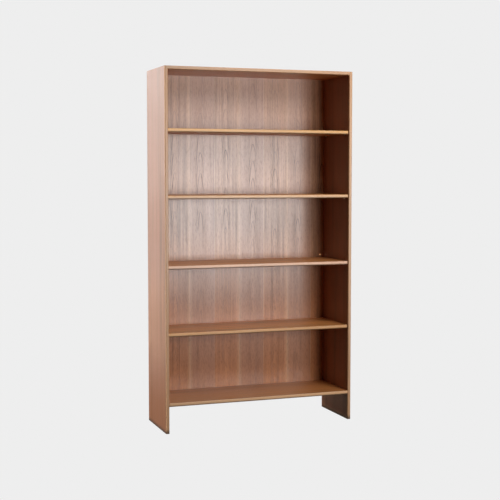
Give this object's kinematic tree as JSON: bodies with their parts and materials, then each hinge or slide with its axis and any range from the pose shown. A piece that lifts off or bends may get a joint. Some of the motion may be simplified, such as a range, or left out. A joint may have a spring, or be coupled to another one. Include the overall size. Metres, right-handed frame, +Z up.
{
  "type": "bookcase with adjustable shelves",
  "caption": "Tall open bookcase in teak veneer: side panels that stand on the floor, mitred top, thin back panel, fixed bottom shelf and loose shelves on pins",
  "frame": {"origin": "on the floor, under the middle of the case", "axes": "+Z up, +X to the viewer's right, the open front faces -Y"},
  "size_m": [1.08, 0.364, 1.95],
  "materials": {
    "teak_veneer": "satin",
    "teak_back_veneer": "satin",
    "teak_solid": "satin",
    "beech": "matte",
    "steel_pin": "satin",
    "steel_screw": "satin",
    "bright_stud": "polished"
  },
  "bodies": {
    "case": {"left_side_panel": "teak_veneer", "left_side_lipping": "teak_solid", "left_corner_tongue": "beech", "left_bottom_dowels": "beech", "right_side_panel": "teak_veneer", "right_side_lipping": "teak_solid", "right_corner_tongue": "beech", "right_bottom_dowels": "beech", "top_panel": "teak_veneer", "top_lipping": "teak_solid", "bottom_shelf_board": "teak_veneer", "bottom_shelf_lipping": "teak_solid", "back_panel": "teak_back_veneer", "back_side_screws": "steel_screw", "back_end_screws": "steel_screw", "back_panel_stud": "bright_stud"},
    "shelf_1": {"shelf_1_board": "teak_veneer", "shelf_1_lipping": "teak_solid"},
    "shelf_1_pin_front_left": {"shelf_1_pin_front_left": "steel_pin"},
    "shelf_1_pin_front_right": {"shelf_1_pin_front_right": "steel_pin"},
    "shelf_1_pin_rear_left": {"shelf_1_pin_rear_left": "steel_pin"},
    "shelf_1_pin_rear_right": {"shelf_1_pin_rear_right": "steel_pin"},
    "shelf_2": {"shelf_2_board": "teak_veneer", "shelf_2_lipping": "teak_solid"},
    "shelf_2_pin_front_left": {"shelf_2_pin_front_left": "steel_pin"},
    "shelf_2_pin_front_right": {"shelf_2_pin_front_right": "steel_pin"},
    "shelf_2_pin_rear_left": {"shelf_2_pin_rear_left": "steel_pin"},
    "shelf_2_pin_rear_right": {"shelf_2_pin_rear_right": "steel_pin"},
    "shelf_3": {"shelf_3_board": "teak_veneer", "shelf_3_lipping": "teak_solid"},
    "shelf_3_pin_front_left": {"shelf_3_pin_front_left": "steel_pin"},
    "shelf_3_pin_front_right": {"shelf_3_pin_front_right": "steel_pin"},
    "shelf_3_pin_rear_left": {"shelf_3_pin_rear_left": "steel_pin"},
    "shelf_3_pin_rear_right": {"shelf_3_pin_rear_right": "steel_pin"},
    "shelf_4": {"shelf_4_board": "teak_veneer", "shelf_4_lipping": "teak_solid"},
    "shelf_4_pin_front_left": {"shelf_4_pin_front_left": "steel_pin"},
    "shelf_4_pin_front_right": {"shelf_4_pin_front_right": "steel_pin"},
    "shelf_4_pin_rear_left": {"shelf_4_pin_rear_left": "steel_pin"},
    "shelf_4_pin_rear_right": {"shelf_4_pin_rear_right": "steel_pin"}
  },
  "joints": [
    {"name": "shelf_1_slide", "type": "slide", "parent": "case", "child": "shelf_1", "axis": [0, -1, 0], "range_m": [0, 0.36]},
    {"name": "shelf_1_pin_front_left_slide", "type": "slide", "parent": "case", "child": "shelf_1_pin_front_left", "axis": [1, 0, 0], "range_m": [0, 0.01]},
    {"name": "shelf_1_pin_front_right_slide", "type": "slide", "parent": "case", "child": "shelf_1_pin_front_right", "axis": [-1, 0, 0], "range_m": [0, 0.01]},
    {"name": "shelf_1_pin_rear_left_slide", "type": "slide", "parent": "case", "child": "shelf_1_pin_rear_left", "axis": [1, 0, 0], "range_m": [0, 0.01]},
    {"name": "shelf_1_pin_rear_right_slide", "type": "slide", "parent": "case", "child": "shelf_1_pin_rear_right", "axis": [-1, 0, 0], "range_m": [0, 0.01]},
    {"name": "shelf_2_slide", "type": "slide", "parent": "case", "child": "shelf_2", "axis": [0, -1, 0], "range_m": [0, 0.36]},
    {"name": "shelf_2_pin_front_left_slide", "type": "slide", "parent": "case", "child": "shelf_2_pin_front_left", "axis": [1, 0, 0], "range_m": [0, 0.01]},
    {"name": "shelf_2_pin_front_right_slide", "type": "slide", "parent": "case", "child": "shelf_2_pin_front_right", "axis": [-1, 0, 0], "range_m": [0, 0.01]},
    {"name": "shelf_2_pin_rear_left_slide", "type": "slide", "parent": "case", "child": "shelf_2_pin_rear_left", "axis": [1, 0, 0], "range_m": [0, 0.01]},
    {"name": "shelf_2_pin_rear_right_slide", "type": "slide", "parent": "case", "child": "shelf_2_pin_rear_right", "axis": [-1, 0, 0], "range_m": [0, 0.01]},
    {"name": "shelf_3_slide", "type": "slide", "parent": "case", "child": "shelf_3", "axis": [0, -1, 0], "range_m": [0, 0.36]},
    {"name": "shelf_3_pin_front_left_slide", "type": "slide", "parent": "case", "child": "shelf_3_pin_front_left", "axis": [1, 0, 0], "range_m": [0, 0.01]},
    {"name": "shelf_3_pin_front_right_slide", "type": "slide", "parent": "case", "child": "shelf_3_pin_front_right", "axis": [-1, 0, 0], "range_m": [0, 0.01]},
    {"name": "shelf_3_pin_rear_left_slide", "type": "slide", "parent": "case", "child": "shelf_3_pin_rear_left", "axis": [1, 0, 0], "range_m": [0, 0.01]},
    {"name": "shelf_3_pin_rear_right_slide", "type": "slide", "parent": "case", "child": "shelf_3_pin_rear_right", "axis": [-1, 0, 0], "range_m": [0, 0.01]},
    {"name": "shelf_4_slide", "type": "slide", "parent": "case", "child": "shelf_4", "axis": [0, -1, 0], "range_m": [0, 0.36]},
    {"name": "shelf_4_pin_front_left_slide", "type": "slide", "parent": "case", "child": "shelf_4_pin_front_left", "axis": [1, 0, 0], "range_m": [0, 0.01]},
    {"name": "shelf_4_pin_front_right_slide", "type": "slide", "parent": "case", "child": "shelf_4_pin_front_right", "axis": [-1, 0, 0], "range_m": [0, 0.01]},
    {"name": "shelf_4_pin_rear_left_slide", "type": "slide", "parent": "case", "child": "shelf_4_pin_rear_left", "axis": [1, 0, 0], "range_m": [0, 0.01]},
    {"name": "shelf_4_pin_rear_right_slide", "type": "slide", "parent": "case", "child": "shelf_4_pin_rear_right", "axis": [-1, 0, 0], "range_m": [0, 0.01]}
  ]
}
